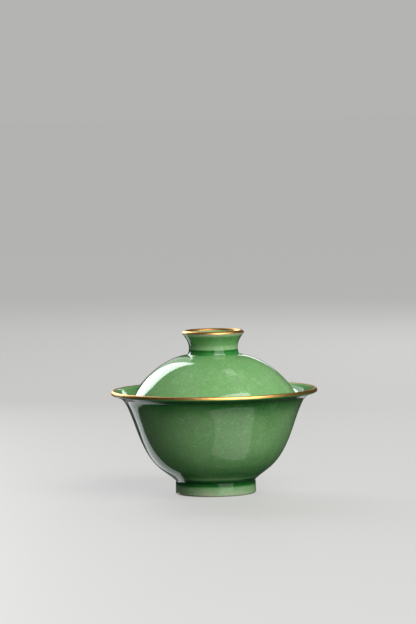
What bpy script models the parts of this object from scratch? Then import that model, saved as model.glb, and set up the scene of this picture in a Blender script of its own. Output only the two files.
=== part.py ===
"""A gaiwan: a lidded porcelain tea bowl with gilded edges.

Metres, +Z up. The origin is the centre of the foot ring's underside, where the bowl stands.
Every piece is turned about +Z. The lid rests inside the bowl's flared lip and lifts straight up.
An outline is a list of points (radius, height), drawn as the turned piece is seen in section.
"""

from math import copysign, cos, pi, radians, sin

import bmesh
import bpy
from mathutils import Vector
from mathutils.geometry import interpolate_bezier

# ---- driving dimensions, metres ----

# Bowl
RIM_RADIUS = 0.0500         # outermost edge of the lip
BOWL_HEIGHT = 0.0506        # table to the crest of the lip
BELLY_RADIUS = 0.0379       # outside of the wall, at the height below
BELLY_HEIGHT = 0.0314
BOWL_WALL = 0.0021
FLOOR_THICKNESS = 0.0032    # between the tea and the hollow of the foot

# Foot ring
FOOT_RADIUS = 0.0195        # outside, where it stands
FOOT_TAPER = 0.00015        # how much narrower it is where it meets the bowl
FOOT_HEIGHT = 0.00645       # table to the corner where the bowl begins
FOOT_WIDTH = 0.0032
FOOT_ROUND = 0.0009         # rounding of both bottom edges
FOOT_HOLLOW = 0.0046        # depth of the hollow inside the ring
HOLLOW_ROUND = 0.0014       # inner corner of the hollow

# Lid
LID_DROP = 0.00625          # crest of the bowl's lip down to the lid's lowest edge
LID_HEIGHT = 0.02295        # lid's lowest edge to the top of the dome
LID_WALL = 0.0021
CROWN_THICKNESS = 0.0024    # between the tea and the floor of the knob

# Ring knob
KNOB_RADIUS = 0.0150        # outermost edge of its rim
KNOB_ROOT_RADIUS = 0.0123   # where it meets the dome
KNOB_HEIGHT = 0.0118        # top of the dome to the crest of the rim
KNOB_WALL = 0.0022
KNOB_FILLET = 0.0006        # corner between the dome and the knob
KNOB_FLOOR_ROUND = 0.0020   # inner corner at the floor of the knob

# Gilding, and the room between pieces
GILT_THICKNESS = 0.0003
GAP = 0.0003                # between a gilt skin and the lip under it
SEAT_GAP = 0.0003           # between the lid's edge and the bowl that it rests on

# ---- slopes and fullness of the curves ----

ROOT_SLOPE = radians(43)        # wall's slope just above the foot
BELLY_SLOPE = radians(71)
LIP_SLOPE = radians(22.5)       # the lip flares nearly flat
LID_EDGE_SLOPE = radians(63)
CROWN_SLOPE = radians(5.7)      # dome's slope beside the knob
KNOB_ROOT_SLOPE = radians(110)  # the knob leans in before it flares
KNOB_RIM_SLOPE = radians(50)

# How far each curve's two handles reach, as shares of the distance between its ends
LOWER_WALL_HANDLES = (0.28, 0.64)
UPPER_WALL_HANDLES = (0.89, 0.28)
BASIN_HANDLES = (0.47, 0.45)
DOME_HANDLES = (0.29, 0.33)
CEILING_HANDLES = (0.40, 0.30)
KNOB_HANDLES = (0.42, 0.30)

EDGE_REACH = 0.85               # how far a lip's rounded end stands out, over half its thickness
EDGE_SQUARENESS = 2.6           # exponent of the rounded end: 2 is an ellipse, more is squarer
EDGE_PACE = 0.62                # outline that a radian of the end covers, over half its thickness
GILT_FROM = radians(-42)        # gilded part of the end, counted from the lip's own direction
GILT_TO = radians(55)

# ---- fineness ----

SEGMENTS = 48                   # sides of every turned piece
WALL_STEPS = 10                 # points on each half of the bowl's wall
DOME_STEPS = 12
BASIN_STEPS = 9
KNOB_STEPS = 7
CORNER_STEPS = 3
EDGE_STEP = radians(30)         # between the points of a rounded end


# ---- outlines ----

def toward(angle, length):
    """The step of this length in a direction, counted from outward to up."""
    return Vector((cos(angle), sin(angle))) * length


def curve(start, start_angle, end, end_angle, handles, points):
    """A smooth curve that leaves the start and reaches the end in the given directions."""
    span = (end - start).length
    first = start + toward(start_angle, handles[0] * span)
    last = end - toward(end_angle, handles[1] * span)
    return [Vector(point[:2]) for point in interpolate_bezier(start, first, last, end, points)]


def arc(centre, radius, start_angle, end_angle, steps=CORNER_STEPS):
    """Points of a round corner, both ends included."""
    turn = (end_angle - start_angle) / steps
    return [centre + toward(start_angle + turn * step, radius) for step in range(steps + 1)]


def moved_left(points, distance):
    """The curve that runs this far to the left of the points."""
    moved = []
    for index, point in enumerate(points):
        before = points[max(index - 1, 0)]
        after = points[min(index + 1, len(points) - 1)]
        along = (after - before).normalized()
        moved.append(point + Vector((-along.y, along.x)) * distance)
    return moved


def radius_at(points, height):
    """The radius at which a rising curve passes the height."""
    for low, high in zip(points, points[1:]):
        if low.y <= height <= high.y:
            share = (height - low.y) / (high.y - low.y)
            return low.x + (high.x - low.x) * share
    raise ValueError("the curve doesn't reach this height")


class LipEnd:
    """The rounded end of a lip or rim, and the groove that its gilding lies in."""

    def __init__(self, outermost, highest, slope, wall):
        """The end of a wall of this slope and thickness that reaches just to both limits."""
        self.slope = slope
        self.half = wall / 2
        self.centre = Vector((0, 0))
        shape = [self.point(radians(degree)) for degree in range(-90, 91)]
        widest = max(point.x for point in shape)
        tallest = max(point.y for point in shape)
        self.centre = Vector((outermost - widest, highest - tallest))
        self.underside = self.point(radians(-90))
        self.topside = self.point(radians(90))

    def point(self, angle, inset=0.0):
        """A point of the end, or under its surface; angle 0 is the lip's own direction."""
        power = 2 / EDGE_SQUARENESS
        reach = self.half * EDGE_REACH - inset
        ahead = reach * copysign(abs(cos(angle)) ** power, cos(angle))
        above = (self.half - inset) * copysign(abs(sin(angle)) ** power, sin(angle))
        return self.centre + toward(self.slope, ahead) + toward(self.slope + pi / 2, above)

    def run(self, start_angle, end_angle, inset=0.0):
        """Points between two angles, both included."""
        steps = max(1, round(abs(end_angle - start_angle) / EDGE_STEP))
        turn = (end_angle - start_angle) / steps
        return [self.point(start_angle + turn * step, inset) for step in range(steps + 1)]

    def clay(self):
        """The end from its underside to its topside, grooved where the gilding lies."""
        margin = GAP / (self.half * EDGE_PACE)
        low = GILT_FROM - margin
        high = GILT_TO + margin
        below = self.run(radians(-90), low)
        groove = self.run(low, high, GILT_THICKNESS + GAP)
        above = self.run(high, radians(90))
        return below + groove + above

    def gilding(self):
        """The closed section of the gilt skin."""
        skin = self.run(GILT_FROM, GILT_TO)
        back = self.run(GILT_FROM, GILT_TO, GILT_THICKNESS)
        return skin + back[::-1]


# ---- bowl ----

def bowl_lip():
    """The rounded end of the bowl's lip."""
    return LipEnd(RIM_RADIUS, BOWL_HEIGHT, LIP_SLOPE, BOWL_WALL)


def lower_wall():
    """Outside of the bowl from the foot to the belly."""
    root = Vector((FOOT_RADIUS - FOOT_TAPER, FOOT_HEIGHT))
    belly = Vector((BELLY_RADIUS, BELLY_HEIGHT))
    return curve(root, ROOT_SLOPE, belly, BELLY_SLOPE, LOWER_WALL_HANDLES, WALL_STEPS)


def upper_wall():
    """Outside of the bowl from the belly to the underside of the lip."""
    belly = Vector((BELLY_RADIUS, BELLY_HEIGHT))
    lip = bowl_lip().underside
    return curve(belly, BELLY_SLOPE, lip, LIP_SLOPE, UPPER_WALL_HANDLES, WALL_STEPS)


def foot_outline():
    """Underside of the bowl from the axis, through the hollow, to the foot's outer side."""
    inner = FOOT_RADIUS - FOOT_WIDTH
    hollow_corner = Vector((inner - HOLLOW_ROUND, FOOT_HOLLOW - HOLLOW_ROUND))
    inner_corner = Vector((inner + FOOT_ROUND, FOOT_ROUND))
    outer_corner = Vector((FOOT_RADIUS - FOOT_ROUND, FOOT_ROUND))
    outline = [Vector((0, FOOT_HOLLOW))]
    outline += arc(hollow_corner, HOLLOW_ROUND, radians(90), 0)
    outline += arc(inner_corner, FOOT_ROUND, radians(180), radians(270))
    outline += arc(outer_corner, FOOT_ROUND, radians(270), radians(360))
    return outline


def basin():
    """Inside of the bowl from the belly down to the axis."""
    inner_belly = Vector((BELLY_RADIUS, BELLY_HEIGHT)) + toward(BELLY_SLOPE + pi / 2, BOWL_WALL)
    floor = Vector((0, FOOT_HOLLOW + FLOOR_THICKNESS))
    return curve(inner_belly, BELLY_SLOPE + pi, floor, pi, BASIN_HANDLES, BASIN_STEPS)


def bowl_outline():
    """Section of the bowl, from the axis underneath to the axis inside."""
    upper = upper_wall()
    inside = moved_left(upper, BOWL_WALL)[::-1]
    outside = foot_outline() + lower_wall() + upper[1:-1]
    return outside + bowl_lip().clay() + inside[1:-1] + basin()


# ---- lid ----

def lid_edge_centre():
    """Middle of the lid's rounded edge, where the edge just clears the bowl's flare."""
    edge = LID_WALL / 2
    height = BOWL_HEIGHT - LID_DROP + edge
    clear = moved_left(upper_wall(), BOWL_WALL + SEAT_GAP + edge)
    return Vector((radius_at(clear, height), height))


def crown_height():
    """Top of the dome, above the table."""
    return BOWL_HEIGHT - LID_DROP + LID_HEIGHT


def dome():
    """Outside of the lid from its edge up to the knob."""
    edge = lid_edge_centre() + toward(pi / 2 - LID_EDGE_SLOPE, LID_WALL / 2)
    crown = Vector((KNOB_ROOT_RADIUS + KNOB_FILLET, crown_height()))
    return curve(edge, pi - LID_EDGE_SLOPE, crown, pi - CROWN_SLOPE, DOME_HANDLES, DOME_STEPS)


def knob_rim():
    """The rounded end of the knob's rim."""
    return LipEnd(KNOB_RADIUS, crown_height() + KNOB_HEIGHT, KNOB_RIM_SLOPE, KNOB_WALL)


def knob_side():
    """Outside of the knob from the dome to the underside of its rim."""
    root = Vector((KNOB_ROOT_RADIUS, crown_height() + KNOB_FILLET))
    rim = knob_rim().underside
    return curve(root, KNOB_ROOT_SLOPE, rim, KNOB_RIM_SLOPE, KNOB_HANDLES, KNOB_STEPS)


def lid_ceiling():
    """Underside of the lid's crown, from the axis out to the inside of the dome."""
    start = Vector((0, crown_height() - LID_WALL + CROWN_SLOPE * KNOB_ROOT_RADIUS / 2))
    end = moved_left(dome(), LID_WALL)[-1]
    return curve(start, 0, end, -CROWN_SLOPE, CEILING_HANDLES, CORNER_STEPS + 1)


def lid_outline():
    """Section of the lid, from the axis inside it to the axis at the knob's floor."""
    outside = dome()
    ceiling = lid_ceiling()
    inside = moved_left(outside, LID_WALL)[::-1]
    edge = arc(lid_edge_centre(), LID_WALL / 2, pi * 1.5 - LID_EDGE_SLOPE, pi * 2.5 - LID_EDGE_SLOPE, 5)
    side = knob_side()
    knob_inside = moved_left(side, KNOB_WALL)[::-1]
    floor_height = ceiling[0].y + CROWN_THICKNESS
    above_floor = [point for point in knob_inside if point.y > floor_height + KNOB_FLOOR_ROUND]
    floor_corner = Vector((above_floor[-1].x - KNOB_FLOOR_ROUND, floor_height + KNOB_FLOOR_ROUND))
    floor = arc(floor_corner, KNOB_FLOOR_ROUND, 0, radians(-90)) + [Vector((0, floor_height))]
    outline = ceiling[:-1] + inside[:-1] + edge[:-1] + outside + side[:-1]
    return outline + knob_rim().clay() + above_floor[1:] + floor


# ---- pieces ----

def turned(name, outline, closed, finish, origin_height=0.0, parent=None):
    """A solid of revolution about +Z, from an outline whose ends meet or lie on the axis."""
    shape = bmesh.new()
    corners = [shape.verts.new((point.x, 0, point.y - origin_height)) for point in outline]
    sides = [shape.edges.new(pair) for pair in zip(corners, corners[1:])]
    if closed:
        sides.append(shape.edges.new((corners[-1], corners[0])))
    bmesh.ops.spin(
        shape, geom=corners + sides, cent=(0, 0, 0), axis=(0, 0, 1),
        angle=2 * pi, steps=SEGMENTS, use_merge=True,
    )
    bmesh.ops.remove_doubles(shape, verts=shape.verts, dist=1e-6)
    bmesh.ops.recalc_face_normals(shape, faces=shape.faces)
    mesh = bpy.data.meshes.new(name)
    shape.to_mesh(mesh)
    shape.free()
    mesh.shade_smooth()
    mesh.set_sharp_from_angle(angle=radians(40))
    mesh.materials.append(finish)
    piece = bpy.data.objects.new(name, mesh)
    piece.parent = parent
    bpy.context.collection.objects.link(piece)
    return piece


def finish_of(name, colour, roughness, metallic):
    """A plain finish with a linear colour."""
    material = bpy.data.materials.new(name)
    material.use_nodes = True
    shader = material.node_tree.nodes["Principled BSDF"]
    shader.inputs["Base Color"].default_value = (*colour, 1)
    shader.inputs["Roughness"].default_value = roughness
    shader.inputs["Metallic"].default_value = metallic
    return material


def make_bowl():
    """The bowl, with its foot ring, and the gilding of its lip."""
    glaze = finish_of("bowl_glaze", (0.16, 0.36, 0.13), 0.12, 0.0)
    gilt = finish_of("bowl_gilt", (0.72, 0.48, 0.18), 0.25, 1.0)
    turned("bowl_body", bowl_outline(), False, glaze)
    turned("bowl_gilt_band", bowl_lip().gilding(), True, gilt)


def make_lid():
    """The lid, with its ring knob, and the gilding of the knob's rim, on the lid's own axis."""
    seat_height = BOWL_HEIGHT - LID_DROP
    axis = bpy.data.objects.new("lid_axis", None)
    axis.location.z = seat_height
    bpy.context.collection.objects.link(axis)
    glaze = finish_of("lid_glaze", (0.22, 0.46, 0.18), 0.12, 0.0)
    gilt = finish_of("knob_gilt", (0.72, 0.48, 0.18), 0.25, 1.0)
    turned("lid_body", lid_outline(), False, glaze, seat_height, axis)
    turned("knob_gilt_band", knob_rim().gilding(), True, gilt, seat_height, axis)


def main():
    """Clear the scene and make the four pieces."""
    for old in list(bpy.data.objects):
        bpy.data.objects.remove(old)
    make_bowl()
    make_lid()


main()
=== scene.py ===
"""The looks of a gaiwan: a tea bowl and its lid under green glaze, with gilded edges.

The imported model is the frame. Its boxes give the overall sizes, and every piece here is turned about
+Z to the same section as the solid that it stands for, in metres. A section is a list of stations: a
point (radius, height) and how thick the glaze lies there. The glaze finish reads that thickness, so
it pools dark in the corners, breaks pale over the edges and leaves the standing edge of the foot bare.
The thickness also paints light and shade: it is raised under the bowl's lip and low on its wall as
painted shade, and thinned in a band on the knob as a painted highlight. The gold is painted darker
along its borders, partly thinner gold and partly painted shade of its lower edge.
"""

import logging
import math
from dataclasses import dataclass
from enum import Enum
from typing import Any, Sequence

import bpy
import numpy as np
from mathutils import Euler, Matrix, Vector
from mathutils.geometry import interpolate_bezier


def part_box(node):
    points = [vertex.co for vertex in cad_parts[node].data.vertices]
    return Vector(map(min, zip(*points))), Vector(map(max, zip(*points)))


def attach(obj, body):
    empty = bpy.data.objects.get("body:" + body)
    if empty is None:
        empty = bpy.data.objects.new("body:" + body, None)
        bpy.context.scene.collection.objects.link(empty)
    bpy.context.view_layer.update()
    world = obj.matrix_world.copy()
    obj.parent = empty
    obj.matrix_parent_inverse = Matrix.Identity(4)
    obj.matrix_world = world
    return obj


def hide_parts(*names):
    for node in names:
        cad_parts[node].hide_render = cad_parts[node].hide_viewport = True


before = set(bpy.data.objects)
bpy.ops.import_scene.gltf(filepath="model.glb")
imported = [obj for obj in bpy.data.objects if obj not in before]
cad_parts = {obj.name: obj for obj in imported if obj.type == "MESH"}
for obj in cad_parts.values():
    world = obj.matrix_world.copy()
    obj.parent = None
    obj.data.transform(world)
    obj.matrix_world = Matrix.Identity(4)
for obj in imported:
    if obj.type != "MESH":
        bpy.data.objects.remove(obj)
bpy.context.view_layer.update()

log = logging.getLogger("gaiwan")
MM = 0.001
WAVE_SIZE = 22 * MM
WAVE_DEPTH = 0.12 * MM

Colour = tuple[float, float, float]


class Part(Enum):
    """The two bodies that come apart."""

    BOWL = "bowl"
    LID = "lid"


class Slot(Enum):
    """The record's material slots."""

    BOWL_GLAZE = "bowl_glaze"
    LID_GLAZE = "lid_glaze"
    GILDING = "gilding"


class Layer(Enum):
    """What a station says about the surface: its field, and the attribute that carries it."""

    GLAZE = "glaze"
    BARE = "bare"
    WORN_AND_SHADED = "worn"


# ---- sections ----


@dataclass
class Station:
    """One point of a turned section.

    Args:
        point: Radius and height, in metres.
        glaze: Thickness of the glaze, from 0, worn through, over 0.5, as poured, to 1, pooled. Under the
        bowl's lip and low on its wall it is raised to paint shade, and in a band on the knob it is
        lowered to paint a highlight.
        bare: 1 where the clay has no glaze.
        worn: 1 at the border of a gold film, where the gold is thinner and painted darker as shade.
    """

    point: Vector
    glaze: float = 0.5
    bare: float = 0.0
    worn: float = 0.0


def toward(angle: float, length: float) -> Vector:
    """A step of this length as (radius, height), its angle counted from outward to up in radians."""
    return Vector((math.cos(angle), math.sin(angle))) * length


def sweep(
    start: Vector,
    start_angle: float,
    end: Vector,
    end_angle: float,
    handles: tuple[float, float],
    count: int = 160,
) -> list[Vector]:
    """A smooth curve between two points of a section.

    Args:
        start: First point.
        start_angle: Direction in which the curve leaves it, in radians.
        end: Last point.
        end_angle: Direction in which the curve arrives.
        handles: How far the two handles reach, as shares of the distance between the points.
        count: Number of points.

    Returns:
        The curve's points, both ends included.
    """
    span = (end - start).length
    first = start + toward(start_angle, handles[0] * span)
    last = end - toward(end_angle, handles[1] * span)
    return [Vector(point[:2]) for point in interpolate_bezier(start, first, last, end, count)]


def corner(centre: Vector, radius: float, start: float, end: float, steps: int = 6) -> list[Vector]:
    """A round corner of a section.

    Args:
        centre: Middle of the rounding.
        radius: Its radius.
        start: Angle of the first point, in radians.
        end: Angle of the last point.
        steps: Number of straight pieces.

    Returns:
        The corner's points, both ends included.
    """
    turn = (end - start) / steps
    return [centre + toward(start + turn * step, radius) for step in range(steps + 1)]


def beside(points: Sequence[Vector], distance: float) -> list[Vector]:
    """The curve that runs to the left of another one.

    Args:
        points: The curve to follow.
        distance: How far to its left, in metres.

    Returns:
        As many points as were given.
    """
    moved = []
    for index, point in enumerate(points):
        before = points[max(index - 1, 0)]
        after = points[min(index + 1, len(points) - 1)]
        along = (after - before).normalized()
        moved.append(point + Vector((-along.y, along.x)) * distance)
    return moved


def radius_at(points: Sequence[Vector], height: float) -> float:
    """The radius at which a curve that runs upwards passes a height, both in metres."""
    return float(np.interp(height, [point.y for point in points], [point.x for point in points]))


def lengths(points: Sequence[Vector]) -> np.ndarray:
    """How far along the curve each of its points lies, in metres."""
    steps = [(there - here).length for here, there in zip(points, points[1:])]
    return np.concatenate([[0.0], np.cumsum(steps)])


def graded(points: Sequence[Vector], first: float, last: float) -> list[Vector]:
    """Points along a curve whose spacing changes evenly from its start to its end.

    Args:
        points: The curve.
        first: Spacing at its start, in metres.
        last: Spacing at its end.

    Returns:
        The new points, both ends included.
    """
    places = lengths(points)
    count = max(2, round(2 * places[-1] / (first + last)))
    marks = np.concatenate([[0.0], np.cumsum(np.linspace(first, last, count))])
    marks *= places[-1] / marks[-1]
    across = np.interp(marks, places, [point.x for point in points])
    up = np.interp(marks, places, [point.y for point in points])
    return [Vector(pair) for pair in zip(across, up)]


def layered(points: Sequence[Vector], *marks: tuple[float, float], bare: float = 0.0) -> list[Station]:
    """Stations along a stretch of a section.

    Args:
        points: The stretch.
        marks: The glaze's thickness at shares of the stretch's length.
        bare: 1 where the clay has no glaze.

    Returns:
        One station for each point.
    """
    places = lengths(points)
    shares, depths = zip(*marks)
    glaze = np.interp(places / places[-1], shares, depths)
    return [Station(point, float(depth), bare) for point, depth in zip(points, glaze)]


@dataclass(frozen=True)
class RoundedEnd:
    """The rounded end of a lip or rim, squarer than an ellipse.

    Args:
        outermost: Largest radius that it reaches.
        highest: Greatest height that it reaches.
        slope: Direction of the wall that it ends, in radians.
        wall: Thickness of that wall.
        reach: How far it goes beyond the wall, over half the wall's thickness.
        squareness: Its exponent, which is 2 for an ellipse.
    """

    outermost: float
    highest: float
    slope: float
    wall: float
    reach: float = 0.85
    squareness: float = 2.6

    def shape(self, angle: float) -> Vector:
        """A point of the end about its own middle.

        Args:
            angle: Its direction in radians, counted from the wall's own direction to the topside.

        Returns:
            The point as (radius, height).
        """
        power = 2 / self.squareness
        along = math.cos(angle)
        across = math.sin(angle)
        ahead = self.wall / 2 * self.reach * math.copysign(abs(along) ** power, along)
        above = self.wall / 2 * math.copysign(abs(across) ** power, across)
        return toward(self.slope, ahead) + toward(self.slope + math.pi / 2, above)

    @property
    def middle(self) -> Vector:
        """Centre of the rounding.

        Returns:
            The point that puts the outermost and highest points of the end where they belong.
        """
        shape = [self.shape(math.radians(degree)) for degree in range(-90, 91)]
        widest = max(point.x for point in shape)
        tallest = max(point.y for point in shape)
        return Vector((self.outermost - widest, self.highest - tallest))

    def point(self, angle: float) -> Vector:
        """A point of the end in the section."""
        return self.middle + self.shape(angle)

    def run(self, steps: int = 14) -> list[Vector]:
        """Points from the underside round to the topside, with this many straight pieces between."""
        return [self.point(math.pi * (step / steps - 0.5)) for step in range(steps + 1)]


def smoothed(values: np.ndarray, places: np.ndarray, reach: float) -> np.ndarray:
    """Values along a section with their steps softened.

    Args:
        values: One value for each station.
        places: Distance of each station along the section.
        reach: How far a value spreads, in metres.

    Returns:
        The softened values.
    """
    near = np.exp(-0.5 * ((places[:, None] - places[None, :]) / reach) ** 2)
    spacing = np.gradient(places)
    near = near * spacing[None, :]
    return near @ values / near.sum(axis=1)


# ---- shaping ----


def pick_nothing() -> None:
    """Deselect every object, so that an operator acts only on what is picked next."""
    bpy.ops.object.select_all(action="DESELECT")


def pick(piece: bpy.types.Object) -> None:
    """Make a piece the only one that operators act on.

    Args:
        piece: The piece.
    """
    pick_nothing()
    piece.select_set(True)
    bpy.context.view_layer.objects.active = piece


def apply_modifier(piece: bpy.types.Object, kind: str, name: str, **settings: Any) -> None:
    """Add a modifier, set it and apply it.

    Args:
        piece: The object that it acts on.
        kind: The modifier's type.
        name: The modifier's name.
        settings: Its values.
    """
    pick(piece)
    modifier = piece.modifiers.new(name, kind)
    for key, value in settings.items():
        setattr(modifier, key, value)
    bpy.ops.object.modifier_apply(modifier=modifier.name)


@dataclass
class Turning:
    """A wheel that turns a section into a closed piece.

    Args:
        steps: Straight sides of the turned piece, before it is subdivided.
        softness: Distance over which the glaze's thickness changes, in metres.
        weld: Distance within which points are joined, in metres.
    """

    steps: int = 120
    softness: float = 0.28 * MM
    weld: float = 0.002 * MM

    def turn(self, name: str, stations: Sequence[Station]) -> bpy.types.Object:
        """Draw the section as a wire from axis to axis, spin it and close it.

        Args:
            name: The piece's name.
            stations: The section, from the axis underneath to the axis on top.

        Returns:
            The turned piece, with its place in its mesh.
        """
        points = [station.point for station in stations]
        pick_nothing()
        bpy.ops.mesh.primitive_plane_add(size=MM, location=(points[0].x, 0, points[0].y))
        bpy.ops.object.mode_set(mode="EDIT")
        bpy.ops.mesh.select_all(action="SELECT")
        bpy.ops.mesh.merge(type="CENTER")
        for here, there in zip(points, points[1:]):
            step = (there.x - here.x, 0, there.y - here.y)
            bpy.ops.mesh.extrude_region_move(TRANSFORM_OT_translate={"value": step})
        bpy.ops.mesh.select_all(action="SELECT")
        bpy.ops.mesh.spin(steps=self.steps, angle=2 * math.pi, center=(0, 0, 0), axis=(0, 0, 1))
        bpy.ops.mesh.select_all(action="SELECT")
        bpy.ops.mesh.remove_doubles(threshold=self.weld)
        bpy.ops.mesh.normals_make_consistent(inside=False)
        bpy.ops.object.mode_set(mode="OBJECT")
        piece = bpy.context.active_object
        piece.name = name
        piece.data.name = name
        bpy.ops.object.transform_apply(location=True, rotation=True, scale=True)
        return piece

    def refine(self, piece: bpy.types.Object) -> None:
        """Subdivide the turned piece once and shade it smooth.

        Args:
            piece: The turned piece.
        """
        apply_modifier(piece, "SUBSURF", "refine", levels=1, render_levels=1)
        pick(piece)
        bpy.ops.object.shade_smooth()

    def coat(self, piece: bpy.types.Object, stations: Sequence[Station], layers: Sequence[Layer]) -> None:
        """Write what the stations say about the surface onto the piece's points.

        Args:
            piece: The turned piece, before it is refined.
            stations: The section that it was turned from.
            layers: What to write.
        """
        section = np.array([station.point[:] for station in stations])
        places = lengths([station.point for station in stations])
        spots = np.array([(math.hypot(spot.co.x, spot.co.y), spot.co.z) for spot in piece.data.vertices])
        nearest = np.array([((section - spot) ** 2).sum(axis=1).argmin() for spot in spots])
        for layer in layers:
            values = np.array([getattr(station, layer.value) for station in stations], float)
            even = smoothed(values, places, self.softness)
            attribute = piece.data.attributes.new(layer.value, "FLOAT", "POINT")
            attribute.data.foreach_set("value", even[nearest].astype(np.float32))


def throwing_waves(piece: bpy.types.Object, lowest: float, highest: float) -> None:
    """Give the wall the faint unevenness of hand work, fading out towards both ends.

    Args:
        piece: The turned piece.
        lowest: Height where the waves begin, in metres.
        highest: Height where they have gone again.
    """
    group = piece.vertex_groups.new(name="wall")
    middle = (lowest + highest) / 2
    half = (highest - lowest) / 2
    for vertex in piece.data.vertices:
        share = 1 - abs(vertex.co.z - middle) / half
        if share > 0:
            group.add([vertex.index], min(1.0, 2 * share), "REPLACE")
    clouds = bpy.data.textures.new(piece.name + "_waves", "CLOUDS")
    clouds.noise_scale = WAVE_SIZE
    clouds.noise_depth = 1
    apply_modifier(
        piece, "DISPLACE", "waves", texture=clouds, texture_coords="LOCAL",
        strength=WAVE_DEPTH, mid_level=0.5, vertex_group=group.name,
    )
    piece.vertex_groups.clear()


# ---- shader writing ----


@dataclass(frozen=True)
class Signal:
    """A shader socket on which Python's operators add Math nodes.

    Args:
        desk: The desk on which the material is made.
        socket: The output that carries the value.
    """

    desk: "Desk"
    socket: bpy.types.NodeSocket

    def _math(self, operation: str, *terms: Any) -> "Signal":
        """One Math node on these terms."""
        inputs = dict(enumerate(terms))
        return self.desk.node("ShaderNodeMath", {"operation": operation}, inputs)["Value"]

    def __add__(self, other: Any) -> "Signal":
        """self + other."""
        return self._math("ADD", self, other)

    __radd__ = __add__

    def __sub__(self, other: Any) -> "Signal":
        """self - other."""
        return self._math("SUBTRACT", self, other)

    def __rsub__(self, other: Any) -> "Signal":
        """other - self."""
        return self._math("SUBTRACT", other, self)

    def __mul__(self, other: Any) -> "Signal":
        """self * other."""
        return self._math("MULTIPLY", self, other)

    __rmul__ = __mul__

    def step(self, low: float, high: float) -> "Signal":
        """A smooth step.

        Args:
            low: Value up to which it is 0.
            high: Value from which it is 1.

        Returns:
            The step.
        """
        settings = {"interpolation_type": "SMOOTHSTEP"}
        inputs = {"Value": self, "From Min": low, "From Max": high}
        return self.desk.node("ShaderNodeMapRange", settings, inputs)["Result"]

    def within(self, low: float, high: float) -> "Signal":
        """The value, kept between two limits."""
        return self._math("MINIMUM", self._math("MAXIMUM", self, low), high)


@dataclass(frozen=True)
class Made:
    """A node that the desk has made, whose outputs are taken by name.

    Args:
        desk: The desk that it stands on.
        node: The node.
    """

    desk: "Desk"
    node: bpy.types.Node

    def __getitem__(self, name: str) -> Signal:
        """The enabled output of this name."""
        found = [output for output in self.node.outputs if output.name == name and output.enabled]
        return Signal(self.desk, found[0])


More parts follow.
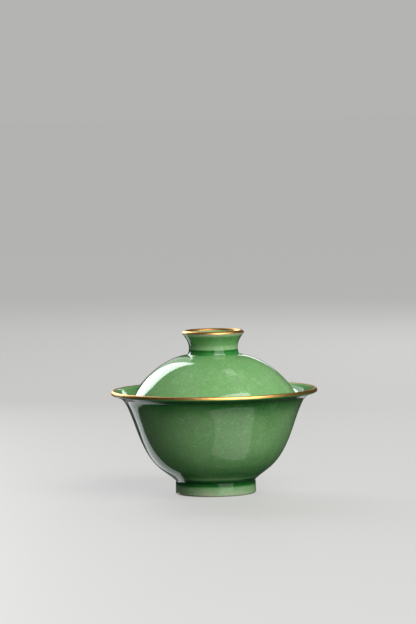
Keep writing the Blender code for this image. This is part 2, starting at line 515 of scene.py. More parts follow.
class Desk:
    """Where one material's nodes are made and joined."""

    def __init__(self, name: str) -> None:
        """Start a material with only its output.

        Args:
            name: The material's name.
        """
        self.material = bpy.data.materials.new(name)
        self.material.use_nodes = True
        self.tree = self.material.node_tree
        self.tree.nodes.clear()
        self.place = self.node("ShaderNodeTexCoord")["Object"]

    def node(self, kind: str, settings: dict | None = None, inputs: dict | None = None) -> Made:
        """Make a node.

        Args:
            kind: Its type.
            settings: Its own values, set first. A ramp's stops are given as "stops".
            inputs: Values or signals for its sockets, by name or number.

        Returns:
            The node.
        """
        node = self.tree.nodes.new(kind)
        for key, value in (settings or {}).items():
            if key == "stops":
                self._set_stops(node, value)
            else:
                setattr(node, key, value)
        for key, value in (inputs or {}).items():
            socket = self._input(node, key)
            if isinstance(value, Signal):
                self.tree.links.new(value.socket, socket)
            else:
                socket.default_value = value
        return Made(self, node)

    @staticmethod
    def _input(node: bpy.types.Node, key: str | int) -> bpy.types.NodeSocket:
        """One of a node's inputs.

        Args:
            node: The node.
            key: The input's number or name.

        Returns:
            The input of this number, or the enabled one of this name.
        """
        if isinstance(key, int):
            return node.inputs[key]
        return [socket for socket in node.inputs if socket.name == key and socket.enabled][0]

    @staticmethod
    def _set_stops(node: bpy.types.Node, stops: Sequence[tuple[float, Sequence[float]]]) -> None:
        """Give a ramp its stops.

        Args:
            node: The ramp.
            stops: Position and colour of each, from left to right.
        """
        ramp = node.color_ramp
        while len(ramp.elements) < len(stops):
            ramp.elements.new(1.0)
        for element, (position, colour) in zip(ramp.elements, stops):
            element.position = position
            element.color = (*colour, 1.0)

    def noise(
        self, size: float, detail: float = 2.0, roughness: float = 0.5, stretch: float = 1.0
    ) -> Signal:
        """Soft noise from about 0.25 to 0.75.

        Args:
            size: Size of its largest patches, in metres.
            detail: How many finer layers it has.
            roughness: How strong those are.
            stretch: How much taller than wide the patches are.

        Returns:
            The noise.
        """
        place = self.place
        if stretch != 1.0:
            scale = {"Vector": place, "Scale": (1, 1, 1 / stretch)}
            place = self.node("ShaderNodeMapping", None, scale)["Vector"]
        inputs = {"Vector": place, "Scale": 1 / size, "Detail": detail, "Roughness": roughness}
        return self.node("ShaderNodeTexNoise", None, inputs)["Fac"]

    def layer(self, layer: Layer) -> Signal:
        """A value that the piece carries on its points."""
        return self.node("ShaderNodeAttribute", {"attribute_name": layer.value})["Fac"]

    def blend(self, factor: Any, first: Any, second: Any, way: str = "MIX") -> Signal:
        """Mix two colours.

        Args:
            factor: How much of the second one.
            first: A colour or a signal.
            second: A colour or a signal.
            way: How they mix.

        Returns:
            The mixed colour.
        """
        settings = {"data_type": "RGBA", "blend_type": way}
        inputs = {"Factor": factor, "A": first, "B": second}
        return self.node("ShaderNodeMix", settings, inputs)["Result"]

    def tone(self, colour: Signal, factor: Signal) -> Signal:
        """A colour made lighter or darker by a factor."""
        inputs = {0: colour, "Scale": factor}
        return self.node("ShaderNodeVectorMath", {"operation": "SCALE"}, inputs)["Vector"]

    def relief(self, height: Signal, depth: float, under: Signal | None = None) -> Signal:
        """Turn a height pattern into a bent normal.

        Args:
            height: The pattern, from 0 to 1.
            depth: How deep it is, in metres.
            under: Another relief that this one lies on.

        Returns:
            The normal.
        """
        inputs: dict = {"Height": height, "Distance": depth, "Strength": 1.0}
        if under is not None:
            inputs["Normal"] = under
        return self.node("ShaderNodeBump", None, inputs)["Normal"]

    def finish(self, inputs: dict, others: dict | None = None) -> bpy.types.Material:
        """End the material in one Principled shader, or in one for the camera and one for other rays.

        Args:
            inputs: Values or signals for the sockets of the shader that the camera sees.
            others: The same for the shader that light and reflections meet, where it differs.

        Returns:
            The material.
        """
        shader = self.node("ShaderNodeBsdfPrincipled", None, inputs)["BSDF"]
        if others is not None:
            hidden = self.node("ShaderNodeBsdfPrincipled", None, others)["BSDF"]
            seen = self.node("ShaderNodeLightPath")["Is Camera Ray"]
            shader = self.node("ShaderNodeMixShader", None, {0: seen, 1: hidden, 2: shader})["Shader"]
        self.node("ShaderNodeOutputMaterial", None, {"Surface": shader})
        return self.material


@dataclass(frozen=True)
class GreenGlaze:
    """Glossy leaf-green enamel over white porcelain, pale where thin and dark where pooled.

    Args:
        thin: Colour where the glaze is nearly worn through.
        pale: Colour where it has run thin.
        poured: Colour at its usual thickness.
        thick: Colour where it has gathered, and of the pits. It also paints shade low on the bowl's
        wall and under its lip.
        pool_and_shade: Colour in the deepest corners, and of the shade painted under the bowl's lip.
        dark_clay: Colour of the bare clay's dark grains.
        cloud: Size of the largest patches, in metres. Mottles are smaller, and grain is finest.
        pit: Size of the pattern that the pits are taken from.
        ripple: Size of the skin's waves.
        peel_depth: Depth of the finer unevenness on them.
        depth_noise: How much clouds, mottles and grain change the thickness.
        tone_noise: How much mottles and grain change the brightness.
        gloss_noise: How much clouds, mottles and a thin coat change the roughness.
        calm: How much of the uneven thickness is gone in a pool.
        flecked: Strength of the flecks.
        pitted: Strength of the pits.
    """

    thin: Colour = (0.52, 0.55, 0.40)
    pale: Colour = (0.265, 0.475, 0.235)
    poured: Colour = (0.175, 0.390, 0.145)
    thick: Colour = (0.040, 0.225, 0.045)
    # Darkest green of pooled glaze, which also paints the shade under the bowl's lip.
    pool_and_shade: Colour = (0.003, 0.085, 0.012)
    clay: Colour = (0.60, 0.52, 0.42)
    dark_clay: Colour = (0.50, 0.42, 0.33)
    fleck: Colour = (0.42, 0.60, 0.38)
    gloss: float = 0.07
    clay_roughness: float = 0.62
    ior: float = 1.52
    cloud: float = 17 * MM
    mottle: float = 2.6 * MM
    grain: float = 0.9 * MM
    pit: float = 1.1 * MM
    ripple: float = 5.0 * MM
    ripple_depth: float = 0.010 * MM
    peel_depth: float = 0.0022 * MM
    depth_noise: tuple[float, float, float] = (0.34, 0.42, 0.24)
    tone_noise: tuple[float, float] = (0.58, 0.66)
    gloss_noise: tuple[float, float, float] = (0.05, 0.04, 0.16)
    calm: float = 0.7
    flecked: float = 0.25
    pitted: float = 0.3

    def material(self, name: str) -> bpy.types.Material:
        """Make the glaze.

        Args:
            name: The material's name.

        Returns:
            The material.
        """
        desk = Desk(name)
        clouds = desk.noise(self.cloud, 3.0, 0.55)
        mottles = desk.noise(self.mottle, 2.0, 0.6, stretch=1.3)
        grain = desk.noise(self.grain, 1.0, 0.5)
        by_cloud, by_mottle, by_grain = self.depth_noise
        uneven = (clouds - 0.5) * by_cloud + (mottles - 0.5) * by_mottle + (grain - 0.5) * by_grain
        poured = desk.layer(Layer.GLAZE)
        depth = (poured + uneven * (1 - poured.step(0.7, 1.0) * self.calm)).within(0.0, 1.0)
        stops = (
            (0.0, self.thin), (0.24, self.pale), (0.50, self.poured), (0.74, self.thick),
            (0.96, self.pool_and_shade),
        )
        glaze = desk.node("ShaderNodeValToRGB", {"stops": stops}, {"Fac": depth})["Color"]
        flecks = (mottles * 0.6 + grain * 0.4).step(0.53, 0.68) * (1 - poured.step(0.55, 0.8))
        glaze = desk.blend(flecks * self.flecked, glaze, (*self.fleck, 1.0))
        pits = desk.noise(self.pit, 0.0).step(0.73, 0.80)
        glaze = desk.blend(pits * self.pitted, glaze, (*self.thick, 1.0))
        by_mottle, by_grain = self.tone_noise
        glaze = desk.tone(glaze, 1 + (mottles - 0.5) * by_mottle + (grain - 0.5) * by_grain)
        bare = (desk.layer(Layer.BARE) + (grain - 0.5) * 0.5).step(0.35, 0.65)
        clay = desk.blend(grain, (*self.clay, 1.0), (*self.dark_clay, 1.0))
        skin = desk.relief(desk.noise(self.ripple, 1.0), self.ripple_depth)
        skin = desk.relief(mottles * 0.7 + grain * 0.3, self.peel_depth, skin)
        by_cloud, by_mottle, by_thinness = self.gloss_noise
        gloss = self.gloss + (clouds - 0.5) * by_cloud + (mottles - 0.5) * by_mottle
        gloss = gloss + (1 - poured.step(0.1, 0.4)) * by_thinness
        return desk.finish({
            "Base Color": desk.blend(bare, glaze, clay),
            "Roughness": gloss + bare * (self.clay_roughness - self.gloss),
            "Metallic": 0.0,
            "IOR": self.ior,
            "Normal": skin,
        })


@dataclass(frozen=True)
class Gilding:
    """Fired gold, brushed on and burnished, a little thinner along its edges.

    Args:
        gold: Colour of the full film.
        worn: Colour where it is thin, and of the shade painted along its borders.
        wear_and_shade_noise: How much strokes and specks move the border of thin, shaded gold.
        streaked: Strength of the thin streaks.
        roughness_noise: How much strokes and the thin, shaded border change the roughness.
    """

    gold: Colour = (0.80, 0.44, 0.14)
    # Dark brown of thin gold, which also paints shade on the band's lower edge.
    worn: Colour = (0.42, 0.20, 0.04)
    roughness: float = 0.40
    stroke: float = 3.2 * MM
    speck: float = 0.5 * MM
    stroke_depth: float = 0.006 * MM
    wear_and_shade_noise: tuple[float, float] = (0.7, 0.5)
    streaked: float = 0.35
    roughness_noise: tuple[float, float] = (0.12, 0.18)

    def material(self, name: str) -> bpy.types.Material:
        """Make the gold.

        Args:
            name: The material's name.

        Returns:
            The material.
        """
        desk = Desk(name)
        strokes = desk.noise(self.stroke, 2.0, 0.5)
        specks = desk.noise(self.speck, 1.0, 0.5)
        edge = desk.layer(Layer.WORN_AND_SHADED)
        by_stroke, by_speck = self.wear_and_shade_noise
        # Darker towards both borders: partly thinner gold, and partly painted shade of the band's lower
        # edge.
        wear_and_shade = (edge + (strokes - 0.5) * by_stroke + (specks - 0.5) * by_speck).step(0.45, 1.05)
        colour = desk.blend(wear_and_shade, (*self.gold, 1.0), (*self.worn, 1.0))
        streaks = (strokes - 0.5).step(0.0, 0.2) * self.streaked
        colour = desk.blend(streaks, colour, (*self.worn, 1.0))
        normal = desk.relief(strokes * 0.7 + specks * 0.3, self.stroke_depth)
        by_stroke, by_wear_and_shade = self.roughness_noise
        return desk.finish({
            "Base Color": colour,
            "Roughness": self.roughness + (strokes - 0.5) * by_stroke + wear_and_shade * by_wear_and_shade,
            "Metallic": 1.0,
            "Normal": normal,
        })


# ---- pieces ----


def dress(piece: bpy.types.Object, material: bpy.types.Material, part: Part, node: str) -> None:
    """Finish a piece and tell the frame what it is.

    Args:
        piece: The finished piece.
        material: Its material.
        part: The body that it moves with.
        node: The solid that it stands for.
    """
    piece.data.materials.clear()
    piece.data.materials.append(material)
    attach(piece, part.value)
    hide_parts(node)
    log.info("%s: %d faces, rides on the %s", piece.name, len(piece.data.polygons), part.value)


@dataclass(frozen=True)
class GiltEdge:
    """A gold line brushed round a rounded end and fired onto the glaze.

    Args:
        end: The rounded end that carries it.
        low: Where it begins outside, in degrees counted from the wall's own direction.
        inward: How far it reaches down the inside, in metres.
        film: Thickness of the gold.
        lift: Gap between the glaze and the gold.
        wander: How far its borders stray.
        wave: Length of their waves.
        spacing: Distance between its points.
        steps: Straight pieces of the curve that it follows over the crest.
        border: Exponent of the wear and painted shade towards its borders, narrower as it grows.
        crease: Angle above which its edges are sharp, in radians.
    """

    end: RoundedEnd
    low: float
    inward: float
    film: float = 0.035 * MM
    lift: float = 0.012 * MM
    wander: float = 0.28 * MM
    wave: float = 9 * MM
    spacing: float = 0.16 * MM
    steps: int = 24
    border: int = 4
    crease: float = math.radians(50)

    def stations(self) -> list[Station]:
        """Section of the film.

        Returns:
            Its stations, from its outer border over the crest to its inner one.
        """
        first = math.radians(self.low)
        turn = (math.pi / 2 - first) / self.steps
        over = [self.end.point(first + turn * step) for step in range(self.steps + 1)]
        inner = over[-1] + toward(self.end.slope + math.pi, self.inward)
        points = graded([*over, inner], self.spacing, self.spacing)
        shares = lengths(points) / lengths(points)[-1]
        # Up to 1 at both borders, where the gold is thinner and is darkened as painted shade.
        return [
            Station(point, worn=abs(2 * share - 1) ** self.border) for point, share in zip(points, shares)
        ]

    def build(self, name: str, wheel: Turning, under: bpy.types.Object) -> bpy.types.Object:
        """Turn the film, let its borders wander and press it onto the piece under it.

        Args:
            name: The film's name.
            wheel: The wheel.
            under: The glazed piece that it lies on.

        Returns:
            The film.
        """
        stations = self.stations()
        film = wheel.turn(name, stations)
        wheel.coat(film, stations, [Layer.WORN_AND_SHADED])
        group = film.vertex_groups.new(name="borders")
        for vertex, worn in zip(film.data.vertices, film.data.attributes[Layer.WORN_AND_SHADED.value].data):
            group.add([vertex.index], worn.value, "REPLACE")
        brush = bpy.data.textures.new(name + "_brush", "CLOUDS")
        brush.noise_scale = self.wave
        apply_modifier(
            film, "DISPLACE", "wander", texture=brush, texture_coords="LOCAL", direction="Z",
            strength=self.wander, mid_level=0.5, vertex_group=group.name,
        )
        film.vertex_groups.clear()
        apply_modifier(
            film, "SHRINKWRAP", "press", target=under, wrap_method="NEAREST_SURFACEPOINT",
            wrap_mode="ABOVE_SURFACE", offset=self.lift,
        )
        apply_modifier(film, "SOLIDIFY", "film", thickness=self.film, offset=1.0)
        pick(film)
        bpy.ops.object.shade_smooth_by_angle(angle=self.crease)
        return film


@dataclass(frozen=True)
class Bowl:
    """The bowl: a flared lip over a round belly, on a trimmed foot ring.

    Args:
        rim_radius: Outermost radius of the lip, in metres.
        height: Height of the lip's crest over the table.
        foot_taper: How much the foot ring narrows towards its top.
        standing_edge: Where the glaze ends, the clay begins, the clay ends and the glaze begins
            round the lower edges of the foot, in shares of a full turn.
    """

    rim_radius: float
    height: float
    belly_radius: float = 37.9 * MM
    belly_height: float = 31.4 * MM
    wall: float = 2.1 * MM
    floor: float = 3.2 * MM
    foot_radius: float = 19.5 * MM
    foot_taper: float = 0.15 * MM
    foot_height: float = 6.45 * MM
    foot_width: float = 3.2 * MM
    foot_round: float = 0.9 * MM
    hollow: float = 4.6 * MM
    hollow_round: float = 1.4 * MM
    root_slope: float = math.radians(43)
    belly_slope: float = math.radians(71)
    lip_slope: float = math.radians(22.5)
    standing_edge: tuple[float, float, float, float] = (0.64, 0.65, 0.85, 0.87)

    @property
    def lip(self) -> RoundedEnd:
        """The rounded end of the lip."""
        return RoundedEnd(self.rim_radius, self.height, self.lip_slope, self.wall)

    @property
    def belly(self) -> Vector:
        """The point where the two curves of the wall meet."""
        return Vector((self.belly_radius, self.belly_height))

    @property
    def root(self) -> Vector:
        """The corner where the foot ring meets the wall."""
        return Vector((self.foot_radius - self.foot_taper, self.foot_height))

    def lower_wall(self) -> list[Vector]:
        """Outside from the foot to the belly."""
        return sweep(self.root, self.root_slope, self.belly, self.belly_slope, handles=(0.28, 0.64))

    def upper_wall(self) -> list[Vector]:
        """Outside from the belly to the underside of the lip."""
        lip = self.lip.point(-math.pi / 2)
        return sweep(self.belly, self.belly_slope, lip, self.lip_slope, handles=(0.89, 0.28))

    def foot(self) -> list[Station]:
        """Section of the underside.

        Returns:
            Its stations, from the axis through the foot's hollow to the top of the foot's outer side.
        """
        inner = self.foot_radius - self.foot_width
        bend = Vector((inner - self.hollow_round, self.hollow - self.hollow_round))
        inside = Vector((inner + self.foot_round, self.foot_round))
        outside = Vector((self.foot_radius - self.foot_round, self.foot_round))
        full = 2 * math.pi
        glaze_end, clay_start, clay_end, glaze_start = (full * share for share in self.standing_edge)
        ceiling = [Vector((0, self.hollow)), Vector((bend.x, self.hollow))]
        side = [outside + toward(0, self.foot_round), self.root]
        return (
            layered(graded(ceiling, 1.6 * MM, 1.2 * MM), (0, 0.55), (0.85, 0.5), (1, 0.75))
            + layered(corner(bend, self.hollow_round, full / 4, 0), (0, 0.75), (0.5, 0.95), (1, 0.6))
            + layered(corner(inside, self.foot_round, full / 2, glaze_end, 3), (0, 0.3), (1, 0.1))
            + layered(corner(inside, self.foot_round, clay_start, full * 0.75, 3), (0, 0), (1, 0), bare=1.0)
            + layered(corner(outside, self.foot_round, full * 0.75, clay_end, 3), (0, 0), (1, 0), bare=1.0)
            + layered(corner(outside, self.foot_round, glaze_start, full, 3), (0, 0.1), (1, 0.18))
            + layered(
                graded(side, 0.6 * MM, 0.35 * MM)[1:],
                (0, 0.20), (0.42, 0.26), (0.56, 0.38), (0.66, 0.84), (0.9, 0.90), (1, 1.0),
            )
        )

    def stations(self) -> list[Station]:
        """Section of the whole bowl.

        Returns:
            Its stations, from the axis underneath to the axis inside.
        """
        lower = graded(self.lower_wall(), 0.35 * MM, 1.0 * MM)
        upper = self.upper_wall()
        over = graded(upper, 1.0 * MM, 0.6 * MM)
        inside = graded(beside(upper, self.wall)[::-1], 0.6 * MM, 1.3 * MM)
        inner_belly = self.belly + toward(self.belly_slope + math.pi / 2, self.wall)
        middle = Vector((0, self.hollow + self.floor))
        basin = sweep(inner_belly, self.belly_slope + math.pi, middle, math.pi, handles=(0.47, 0.45))
        return (
            self.foot()
            # From the foot's root: glaze pooled in the corner, a pale ridge line, then darker towards the
            # bottom of the wall, partly glaze run thick and partly painted shade.
            + layered(
                lower[1:], (0, 0.97), (0.055, 0.96), (0.075, 0.75), (0.090, 0.32), (0.105, 0.60),
                (0.2, 0.68), (0.5, 0.56), (0.8, 0.46), (1, 0.45),
            )
            # Painted shade under the lip: the glaze thickens to pooled up the flare and starts pooled on
            # the lip's underside, then thins pale over the crest.
            + layered(over[1:-1], (0, 0.45), (0.35, 0.50), (0.7, 0.72), (0.85, 0.95), (1, 1.0))
            + layered(self.lip.run(), (0, 1.0), (0.3, 0.70), (0.5, 0.30), (1, 0.36))
            + layered(inside[1:-1], (0, 0.46), (0.12, 0.62), (0.5, 0.72), (1, 0.58))
            + layered(graded(basin, 1.3 * MM, 1.6 * MM), (0, 0.5), (0.6, 0.55), (1, 0.75))
        )

    def build(self, wheel: Turning, glaze: bpy.types.Material, gold: bpy.types.Material) -> None:
        """Make the bowl and its gilt lip.

        Args:
            wheel: The wheel that it is turned on.
            glaze: The bowl's glaze.
            gold: The gilding.
        """
        bowl = glazed("bowl", wheel, self.stations(), (self.foot_height, self.height))
        dress(bowl, glaze, Part.BOWL, "bowl_body")
        line = GiltEdge(self.lip, low=-27, inward=0.25 * MM)
        film = line.build("bowl_gilding", wheel, bowl)
        dress(film, gold, Part.BOWL, "bowl_gilt_band")


@dataclass(frozen=True)
class Lid:
    """The lid: a dome that rests inside the bowl's lip, with a hollow ring for a knob.

    Args:
        bowl: The bowl that it rests in.
        lowest: Height of its lowest edge over the table, in metres.
        highest: Height of the knob's crest.
        knob_radius: Outermost radius of the knob's rim.
        crown: Thickness under the knob.
        seat_gap: Gap between the lid's edge and the bowl.
        cove_height: Height of the rounding at the knob's floor.
        cove_width: Its width over its height.
        edge_slope: Inward lean of the dome at its edge, in radians over level.
        crown_slope: The same at the knob.
    """

    bowl: Bowl
    lowest: float
    highest: float
    knob_radius: float
    wall: float = 2.1 * MM
    crown: float = 2.4 * MM
    seat_gap: float = 0.3 * MM
    knob_height: float = 11.8 * MM
    knob_root: float = 12.3 * MM
    knob_wall: float = 2.2 * MM
    knob_fillet: float = 0.6 * MM
    cove_height: float = 2.0 * MM
    cove_width: float = 1.6
    edge_slope: float = math.radians(63)
    crown_slope: float = math.radians(5.7)
    knob_root_slope: float = math.radians(110)
    knob_rim_slope: float = math.radians(50)

    @property
    def top(self) -> float:
        """Height of the dome's top, where the knob stands."""
        return self.highest - self.knob_height

    @property
    def edge_middle(self) -> Vector:
        """Middle of the rounded edge.

        Returns:
            The point that keeps the edge just clear of the bowl's flare.
        """
        half = self.wall / 2
        height = self.lowest + half
        clear = beside(self.bowl.upper_wall(), self.bowl.wall + self.seat_gap + half)
        return Vector((radius_at(clear, height), height))

    @property
    def rim(self) -> RoundedEnd:
        """The rounded end of the knob's rim."""
        return RoundedEnd(self.knob_radius, self.highest, self.knob_rim_slope, self.knob_wall)

    def dome(self) -> list[Vector]:
        """Outside of the dome.

        Returns:
            Its points, from the edge up to the knob.
        """
        edge = self.edge_middle + toward(math.pi / 2 - self.edge_slope, self.wall / 2)
        crown = Vector((self.knob_root + self.knob_fillet, self.top))
        rise = math.pi - self.edge_slope
        return sweep(edge, rise, crown, math.pi - self.crown_slope, handles=(0.29, 0.33))

    def knob_side(self) -> list[Vector]:
        """Outside of the knob.

        Returns:
            Its points, from the dome to the underside of the rim.
        """
        root = Vector((self.knob_root, self.top + self.knob_fillet))
        rim = self.rim.point(-math.pi / 2)
        return sweep(root, self.knob_root_slope, rim, self.knob_rim_slope, handles=(0.42, 0.30))

    def ceiling(self) -> list[Vector]:
        """Underside of the crown.

        Returns:
            Its points, from the axis outwards.
        """
        middle = Vector((0, self.top - self.wall + self.crown_slope * self.knob_root / 2))
        end = beside(self.dome(), self.wall)[-1]
        return sweep(middle, 0, end, -self.crown_slope, handles=(0.40, 0.30))

    def underside(self) -> list[Station]:
        """Section of the inside.

        Returns:
            Its stations, from the axis to the lowest edge.
        """
        ceiling = self.ceiling()
        inside = beside(self.dome(), self.wall)[::-1]
        return (
            layered(graded(ceiling, 1.6 * MM, 1.2 * MM), (0, 0.5), (1, 0.5))
            + layered(graded(inside, 1.3 * MM, 0.8 * MM)[1:-1], (0, 0.5), (0.8, 0.52), (1, 0.35))
        )

    def knob(self) -> list[Station]:
        """Section of the knob.

        Returns:
            Its stations, from the dome over the rim to the axis at the knob's floor.
        """
        side = self.knob_side()
        crown = Vector((self.knob_root + self.knob_fillet, self.top))
        level = math.pi - self.crown_slope
        fillet = sweep(crown, level, side[0], self.knob_root_slope, handles=(0.4, 0.4))
        floor_height = self.ceiling()[0].y + self.crown
        inner = beside(side, self.knob_wall)[::-1]
        inner = [point for point in inner if point.y > floor_height + self.cove_height]
        along = inner[-1] - inner[-2]
        settle = Vector((inner[-1].x - self.cove_width * self.cove_height, floor_height))
        angle = math.atan2(along.y, along.x)
        cove = sweep(inner[-1], angle, settle, -math.pi, handles=(0.45, 0.45))
        floor = [settle, Vector((0, floor_height))]
        return (
            layered(graded(fillet, 0.2 * MM, 0.2 * MM)[1:], (0, 0.70), (1, 0.78))
            # Up the knob's side: glaze pooled in the fillet at its root, then a pale band of thin glaze
            # that also paints a highlight, and a pale line under the gold.
            + layered(
                graded(side, 0.3 * MM, 0.35 * MM)[1:-1],
                (0, 0.76), (0.10, 0.80), (0.13, 1.0), (0.17, 1.0), (0.20, 0.45), (0.24, 0.24),
                (0.33, 0.36), (0.45, 0.56), (0.93, 0.64), (0.965, 0.10), (1, 0.0),
            )
            + layered(self.rim.run(), (0, 0.0), (0.5, 0.2), (1, 0.25))
            + layered(graded(inner, 0.5 * MM, 0.6 * MM)[1:], (0, 0.26), (0.5, 0.42), (1, 0.6))
            + layered(graded(cove, 0.4 * MM, 0.5 * MM)[1:], (0, 0.65), (0.6, 0.9), (1, 0.8))
            + layered(graded(floor, 0.8 * MM, 1.4 * MM)[1:], (0, 0.75), (1, 0.6))
        )

    def stations(self) -> list[Station]:
        """Section of the whole lid.

        Returns:
            Its stations, from the axis inside to the axis at the knob's floor.
        """
        middle = self.edge_middle
        turn = math.pi * 1.5 - self.edge_slope
        edge = corner(middle, self.wall / 2, turn, turn + math.pi, steps=10)
        return (
            self.underside()
            + layered(edge, (0, 0.3), (0.4, 0.12), (1, 0.2))
            + layered(
                graded(self.dome(), 0.6 * MM, 0.5 * MM)[1:],
                (0, 0.2), (0.03, 0.35), (0.08, 0.44), (0.4, 0.46), (0.75, 0.52), (0.95, 0.57),
                (0.975, 0.34), (0.99, 0.50), (1, 0.70),
            )
            + self.knob()
        )

    def build(self, wheel: Turning, glaze: bpy.types.Material, gold: bpy.types.Material) -> None:
        """Make the lid and its gilt rim.

        Args:
            wheel: The wheel that it is turned on.
            glaze: The lid's glaze.
            gold: The gilding.
        """
        lid = glazed("lid", wheel, self.stations(), (self.lowest, self.top))
        dress(lid, glaze, Part.LID, "lid_body")
        line = GiltEdge(self.rim, low=-52, inward=0.8 * MM, wander=0.2 * MM, wave=6 * MM)
        film = line.build("knob_gilding", wheel, lid)
        dress(film, gold, Part.LID, "knob_gilt_band")


def glazed(
    name: str, wheel: Turning, stations: Sequence[Station], wall: tuple[float, float]
) -> bpy.types.Object:
    """Turn a piece, coat it and finish its skin.

    Args:
        name: The piece's name.
        wheel: The wheel.
        stations: Its section.
        wall: The heights between which its wall is a little uneven.

    Returns:
        The piece, without its material.
    """
    piece = wheel.turn(name, stations)
    wheel.coat(piece, stations, [Layer.GLAZE, Layer.BARE])
    throwing_waves(piece, *wall)
    wheel.refine(piece)
    return piece


# ---- studio ----


@dataclass(frozen=True)
class SoftBox:
    """A rectangular studio light.

    Args:
        name: Its name.
        place: Its middle, in metres.
        facing: Direction in which it shines.
        size: Its width and height.
        radiance: How bright its face is.
        colour: Its colour.
        mirrored: Whether glossy surfaces show it.
    """

    name: str
    place: tuple[float, float, float]
    facing: tuple[float, float, float]
    size: tuple[float, float]
    radiance: float
    colour: Colour = (1.0, 1.0, 1.0)
    mirrored: bool = True

    def build(self) -> None:
        """Hang the light."""
        data = bpy.data.lights.new(self.name, "AREA")
        data.shape = "RECTANGLE"
        data.size, data.size_y = self.size
        data.energy = self.radiance * math.pi * self.size[0] * self.size[1]
        data.color = self.colour
        box = bpy.data.objects.new(self.name, data)
        box.rotation_mode = "QUATERNION"
        box.rotation_quaternion = Vector(self.facing).to_track_quat("-Z", "Y")
        box.location = self.place
        box.visible_camera = False
        box.visible_glossy = self.mirrored
        bpy.context.collection.objects.link(box)


@dataclass(frozen=True)
class Camera:
    """A long lens a little above the table.

    Args:
        place: Where it stands, in metres.
        pitch: How far it looks up, in degrees.
        yaw: How far it is turned to its left.
        roll: How far it leans to its left.
        lens: Focal length, in millimetres.
        sensor: Width of the sensor, in millimetres.
    """

    place: tuple[float, float, float] = (0.0, -1.673, 0.1878)
    pitch: float = -3.419
    yaw: float = 0.0768
    roll: float = -1.07
    lens: float = 200.0
    sensor: float = 36.0

    def build(self) -> None:
        """Set the camera up and make it the scene's own."""
        data = bpy.data.cameras.new("camera")
        data.lens = self.lens
        data.sensor_width = self.sensor
        camera = bpy.data.objects.new("camera", data)
        aim = Euler((math.radians(90 + self.pitch), 0, math.radians(self.yaw))).to_matrix().to_4x4()
        lean = Matrix.Rotation(math.radians(self.roll), 4, "Z")
        camera.matrix_world = Matrix.Translation(self.place) @ aim @ lean
        bpy.context.collection.objects.link(camera)
        bpy.context.scene.camera = camera


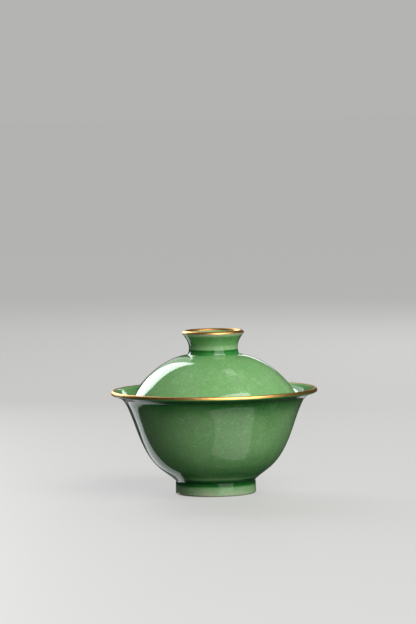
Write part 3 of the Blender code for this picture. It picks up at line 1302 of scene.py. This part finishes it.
@dataclass(frozen=True)
class Studio:
    """A plain pale table under soft boxes, in a dim room.

    The camera sees the table and the room pale. What the pieces mirror, and what lights them, is a
    darker, glossier table and a dimmer room.

    Args:
        table_colour: The table's colour, as the camera sees it.
        table_glow: How bright it is by itself.
        mirrored_colour: Its colour, as the pieces mirror it.
        room_light: Strength of the room's light.
        seen_colour: Colour of the room, as the camera sees it.
        seen_strength: How bright it looks.
    """

    table_size: float = 80.0
    table_colour: Colour = (0.16, 0.16, 0.158)
    table_glow: float = 0.44
    table_roughness: float = 0.6
    mirrored_colour: Colour = (0.05, 0.05, 0.05)
    mirrored_roughness: float = 0.06
    mirrored_ior: float = 2.2
    room_colour: Colour = (0.88, 0.92, 1.0)
    room_light: float = 0.035
    seen_colour: Colour = (1.0, 1.0, 0.99)
    seen_strength: float = 0.455
    boxes: tuple[SoftBox, ...] = (
        SoftBox(
            "window", (-0.602, 0.754, 0.51), (-0.417, -0.908, 0.0), (0.896, 0.68), 6.0, (0.93, 0.97, 1.0),
        ),
        SoftBox("haze", (-0.226, 1.02, 0.80), (0.21, -0.97, 0.0), (0.238, 1.2), 0.8),
        SoftBox("edge", (0.17, 1.33, 0.30), (-0.13, -0.99, 0.0), (0.20, 0.22), 1.6),
        SoftBox("key", (0.40, -0.62, 0.86), (-0.36, 0.56, -0.74), (1.0, 0.6), 6.2, (1.0, 0.97, 0.92)),
        SoftBox("fill", (0.62, -1.12, 0.48), (-0.47, 0.84, -0.28), (1.1, 0.85), 2.7, (1.0, 0.98, 0.95)),
        SoftBox(
            "back", (0.35, 1.15, 0.75), (-0.25, -0.82, -0.51), (1.1, 0.8), 3.0, (1.0, 0.98, 0.95),
            mirrored=False,
        ),
        SoftBox("overhead", (0.24, 0.22, 1.05), (-0.22, -0.21, -0.95), (0.21, 0.16), 1.5),
    )

    def lay_table(self) -> None:
        """Lay the table on which the bowl stands."""
        pick_nothing()
        bpy.ops.mesh.primitive_plane_add(size=self.table_size, location=(0, 0, 0))
        table = bpy.context.active_object
        table.name = "table"
        desk = Desk("table")
        pale = (*self.table_colour, 1.0)
        seen = {"Base Color": pale, "Roughness": self.table_roughness, "Emission Color": pale}
        seen["Emission Strength"] = self.table_glow / self.table_colour[0]
        mirrored = {"Base Color": (*self.mirrored_colour, 1.0), "IOR": self.mirrored_ior}
        mirrored["Roughness"] = self.mirrored_roughness
        table.data.materials.append(desk.finish(seen, mirrored))

    def light_room(self) -> None:
        """Set the room's own light, which is dimmer than the room looks."""
        world = bpy.data.worlds.new("room")
        world.use_nodes = True
        nodes = world.node_tree.nodes
        light = nodes["Background"]
        light.inputs["Color"].default_value = (*self.room_colour, 1.0)
        light.inputs["Strength"].default_value = self.room_light
        seen = nodes.new("ShaderNodeBackground")
        seen.inputs["Color"].default_value = (*self.seen_colour, 1.0)
        seen.inputs["Strength"].default_value = self.seen_strength
        rays = nodes.new("ShaderNodeLightPath")
        choice = nodes.new("ShaderNodeMixShader")
        links = world.node_tree.links
        links.new(rays.outputs["Is Camera Ray"], choice.inputs[0])
        links.new(light.outputs[0], choice.inputs[1])
        links.new(seen.outputs[0], choice.inputs[2])
        links.new(choice.outputs[0], nodes["World Output"].inputs["Surface"])
        bpy.context.scene.world = world
        bpy.context.scene.view_settings.view_transform = "Standard"

    def build(self) -> None:
        """Lay the table, hang the lights and light the room."""
        self.lay_table()
        for box in self.boxes:
            box.build()
        self.light_room()


def main() -> None:
    """Set up the studio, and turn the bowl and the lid."""
    logging.basicConfig(level=logging.INFO, format="%(name)s: %(message)s")
    Camera().build()
    Studio().build()
    wheel = Turning()
    gold = Gilding().material("gilding")
    lip_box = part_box("bowl_gilt_band")
    rim_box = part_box("knob_gilt_band")
    lid_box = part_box("lid_body")
    bowl = Bowl(rim_radius=lip_box[1][0], height=lip_box[1][2])
    bowl.build(wheel, GreenGlaze().material("bowl_glaze"), gold)
    lid = Lid(bowl, lowest=lid_box[0][2], highest=rim_box[1][2], knob_radius=rim_box[1][0])
    lid.build(wheel, GreenGlaze().material("lid_glaze"), gold)


if __name__ == "__main__":
    main()
